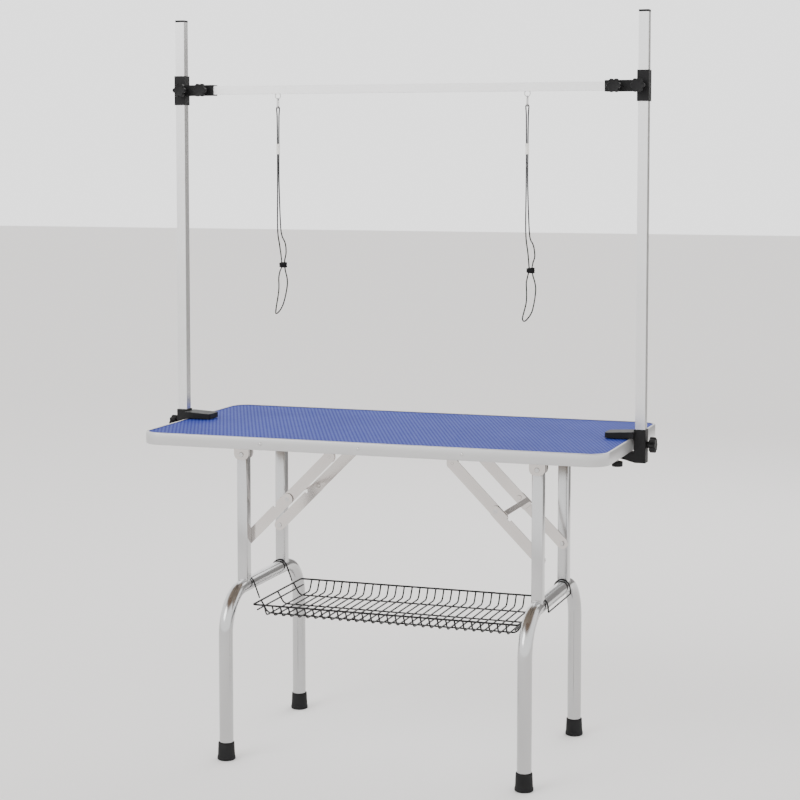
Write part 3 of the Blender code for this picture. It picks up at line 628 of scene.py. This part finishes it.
pivot_head = [(0.0052, -0.0002), (0.0056, 0.0004), (0.0052, 0.0011), (0.0036, 0.0014), (0.0012, 0.0015)]
for side, s in SIDES:
    body = f"{side}_leg"
    low, high, at = box_of(f"{side}_leg_frame")
    path = arch(at.x, high.y - TUBE_R)
    link(f"{side}_arch", tube_curve("arch", [path], TUBE_R, 10), body, PAINT,
         [f"{side}_leg_frame"])
    for end, e in ENDS:
        y = e * UPRIGHT_Y
        link(f"{side}_{end}_upright", upright(at.x, y, high.z), body, PAINT)
        weld = tube_curve("weld", [weld_bead(at.x, y)], 0.0014, 3, True)
        link(f"{side}_{end}_weld", weld, body, PAINT)
        head = turned(pivot_head, (0, -e, 0), (at.x, e * PIVOT_FACE_Y, PIVOT_Z), 24)
        link(f"{side}_{end}_lower_pivot", head, body, CHROME)

    for end, _ in ENDS:
        node = f"{side}_{end}_foot"
        low, high, at = box_of(node)
        foot = turned(foot_profile((high.x - low.x) / 2, high.z), (0, 0, 1), (at.x, at.y, 0))
        link(f"{side}_{end}_rubber_foot", foot, body, RUBBER, [node])

    # One bent wire: an arm over the cross tube inside each upright, joined along the outer side
    node = f"{side}_basket_hook"
    y = box_of(node)[1].y - HOOK_WIRE_R
    arm = [(0.3195, 0.3480), *arc(TUBE_X, TUBE_Z, HOOK_BEND_R, 160, 10, 16)]
    arm += [(0.3708, 0.3740), (0.3708, 0.3660)]
    hook = [(s * px, -y, pz) for px, pz in arm] + [(s * px, y, pz) for px, pz in reversed(arm)]
    hook_curve = tube_curve("hook", [round_corners(hook, 0.004, 3)], HOOK_WIRE_R, 5)
    link(f"{side}_hook", hook_curve, body, WIRE, [node])

# ---- basket ----
RIM_R, WIRE_R = 0.0022, 0.0019
RIM_INSET = 0.0018
CROSS_WIRES = 30
FIRST_CROSS_X = -0.2875
FLOOR_HALF_X, FLOOR_HALF_Y = 0.299, 0.135
LONG_WIRE_Y = (-0.0995, 0.0, 0.0995)
low, high, _ = box_of("basket_tray")
rim_x, rim_y, rim_z = high.x - RIM_INSET, high.y - RIM_INSET, high.z - RIM_INSET
floor_z = low.z + 0.0022
rim = [(x, y, rim_z) for x, y in rounded_rectangle(rim_x, rim_y, 0.006, 6)]


def hung_wire(points):
    return round_corners(points, 0.010, 4)


wires = []
for n in range(CROSS_WIRES):
    x = FIRST_CROSS_X - 2 * FIRST_CROSS_X * n / (CROSS_WIRES - 1)
    wires.append(hung_wire([(x, -rim_y, rim_z - 0.001), (x, -FLOOR_HALF_Y, floor_z),
                            (x, FLOOR_HALF_Y, floor_z), (x, rim_y, rim_z - 0.001)]))
under = floor_z - 0.0030
for y in LONG_WIRE_Y:
    wires.append(hung_wire([(-rim_x, y, rim_z - 0.001), (-FLOOR_HALF_X, y, under),
                            (FLOOR_HALF_X, y, under), (rim_x, y, rim_z - 0.001)]))
half_way_y, half_way_z = (rim_y + FLOOR_HALF_Y) / 2, (rim_z + floor_z) / 2
for _, s in SIDES:
    x = s * (rim_x + FLOOR_HALF_X) / 2
    wires.append([(x, -half_way_y, half_way_z), (x, half_way_y, half_way_z)])
rim_curve = tube_curve("rim", [rim], RIM_R, 5, True)
link("wire_basket_rim", rim_curve, "basket", WIRE, ["basket_tray"])
link("wire_basket", tube_curve("wires", wires, WIRE_R, 4), "basket", WIRE)

# ---- stays and brackets ----
ELBOW_X, ELBOW_Z = 0.249, 0.584
BOARD_UNDERSIDE = 0.7202
SCREW_PLACES = ((0.139, 0.073), (0.155, 0.073), (0.341, 0.1145), (0.361, 0.1145))
elbow_head = [(0.0052, -0.0003), (0.0052, 0.0001), (0.0044, 0.00026)]
screw_head = [(0.0040, 0.0), (0.0040, 0.0006), (0.0034, 0.0022), (0.0020, 0.0024)]
for side, s in SIDES:
    finish_node(f"{side}_upper_stay", STEEL, 0.0005, 2)
    for end, _ in ENDS:
        for part in ("lower_stay", "hinge_bracket", "stay_bracket"):
            finish_node(f"{side}_{end}_{part}", STEEL, 0.0005, 2)
        finish_node(f"{side}_{end}_hinge_pin", CHROME, 0.0004, 2)
    for end, e in ENDS:
        low, high, _ = box_of(f"{side}_{end}_lower_stay")
        face = high.y if e > 0 else low.y
        head = turned(elbow_head, (0, e, 0), (s * ELBOW_X, face, ELBOW_Z), 24)
        link(f"{side}_{end}_elbow_head", head, f"{side}_stay_lower", CHROME)
    screws = [turned(screw_head, (0, 0, -1), (s * x, e * y, BOARD_UNDERSIDE), 20)
              for _, e in ENDS for x, y in SCREW_PLACES]
    link(f"{side}_screws", several(screws), "table", CHROME)


# ---- clamps, posts and crossbar ----
LOBE_STEPS = 10


def star(radius, dip, lobes):
    """The outline of a knob with round lobes."""
    points = []
    for n, (x, y) in enumerate(circle(1, lobes * LOBE_STEPS)):
        wave = 0.5 + 0.5 * math.cos(math.tau * n / LOBE_STEPS)
        reach = radius - dip * (1 - wave ** 0.6)
        points.append((reach * x, reach * y))
    return points


def star_knob(node, axis, lobes, dip, head_height, body):
    """A lobed knob with rounded edges, on a boss, where the CAD node is."""
    low, high, place = box_of(node)
    axis = Vector(axis)
    along = [abs(c) > 0.5 for c in axis].index(True)
    radius = max(high[n] - low[n] for n in range(3) if n != along) / 2
    depth = high[along] - low[along]
    place[along] = high[along] if axis[along] > 0 else low[along]
    matrix = Matrix.Translation(place) @ axis.to_track_quat("Z", "Y").to_matrix().to_4x4()
    head = [(0.55, -0.0012), (0.80, -0.0004), (0.90, 0.0), (0.96, -0.0006), (1.0, -0.0026),
            (1.0, -head_height + 0.002), (0.96, -head_height + 0.0004), (0.85, -head_height)]
    boss = [(0.52, -head_height), (0.44, -head_height - 0.001), (0.42, -depth + 0.0005)]
    rings = []
    for share, z in head:
        shape = star(radius, dip * share, lobes)
        rings.append([matrix @ Vector((x * share, y * share, z)) for x, y in shape])
    for share, z in boss:
        shape = circle(radius * share, lobes * LOBE_STEPS)
        rings.append([matrix @ Vector((x, y, z)) for x, y in shape])
    link(f"{node}_star", smooth(grow(rings), 35), body, BLACK, [node])


def knurled(share, radius):
    """A ring whose every other point dips a little, but only near the full radius."""
    dip = 0.035 if share > 0.9 else 0
    points = circle(radius * share, 64)
    return [(x * (1 - dip * (n % 2)), y * (1 - dip * (n % 2))) for n, (x, y) in enumerate(points)]


THREAD_STARTS = 0.0122  # above the thumb wheel's foot
THREAD_PITCH = 0.0015
THREAD_R, THREAD_ROOT = 0.0030, 0.0026
for side, s in SIDES:
    finish_node(f"{side}_clamp", BLACK, 0.0010)
    finish_node(f"{side}_clamp_pad", BLACK, 0.0004, 2)
    finish_node(f"{side}_connector", BLACK, 0.0010)
    finish_node(f"{side}_post", POST, 0.0016)
    finish_node(f"{side}_post_cap", BLACK, 0.0012)
    star_knob(f"{side}_collar_knob", (0, -1, 0), 6, 0.004, 0.012, f"{side}_collar_star")
    star_knob(f"{side}_arm_knob", (0, -1, 0), 6, 0.004, 0.012, f"{side}_arm_star")
    star_knob(f"{side}_post_lock_knob", (s, 0, 0), 8, 0.0045, 0.014, f"{side}_lock")

    low, high, at = box_of(f"{side}_clamp_screw")
    wheel_r = (high.x - low.x) / 2
    wheel = []
    for share, z in ((0.55, 0), (0.90, 0.0003), (1.0, 0.0016), (1.0, 0.0100), (0.94, 0.0117),
                     (0.50, THREAD_STARTS), (0.26, 0.0124)):
        wheel.append([(at.x + x, at.y + y, low.z + z) for x, y in knurled(share, wheel_r)])
    link(f"{side}_thumb_wheel", smooth(grow(wheel), 45), f"{side}_screw", BLACK,
         [f"{side}_clamp_screw"])
    thread = [(THREAD_R, low.z + THREAD_STARTS)]
    for n in range(15):
        crest = low.z + 0.0130 + THREAD_PITCH * n
        thread += [(THREAD_R, crest), (THREAD_ROOT, crest + THREAD_PITCH / 2)]
    thread = [(r, z) for r, z in thread if z < high.z] + [(THREAD_ROOT, high.z)]
    link(f"{side}_screw_thread", turned(thread, (0, 0, 1), (at.x, at.y, 0), 24), f"{side}_screw",
         CHROME)
finish_node("crossbar", BAR, 0.0014)

low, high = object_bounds()
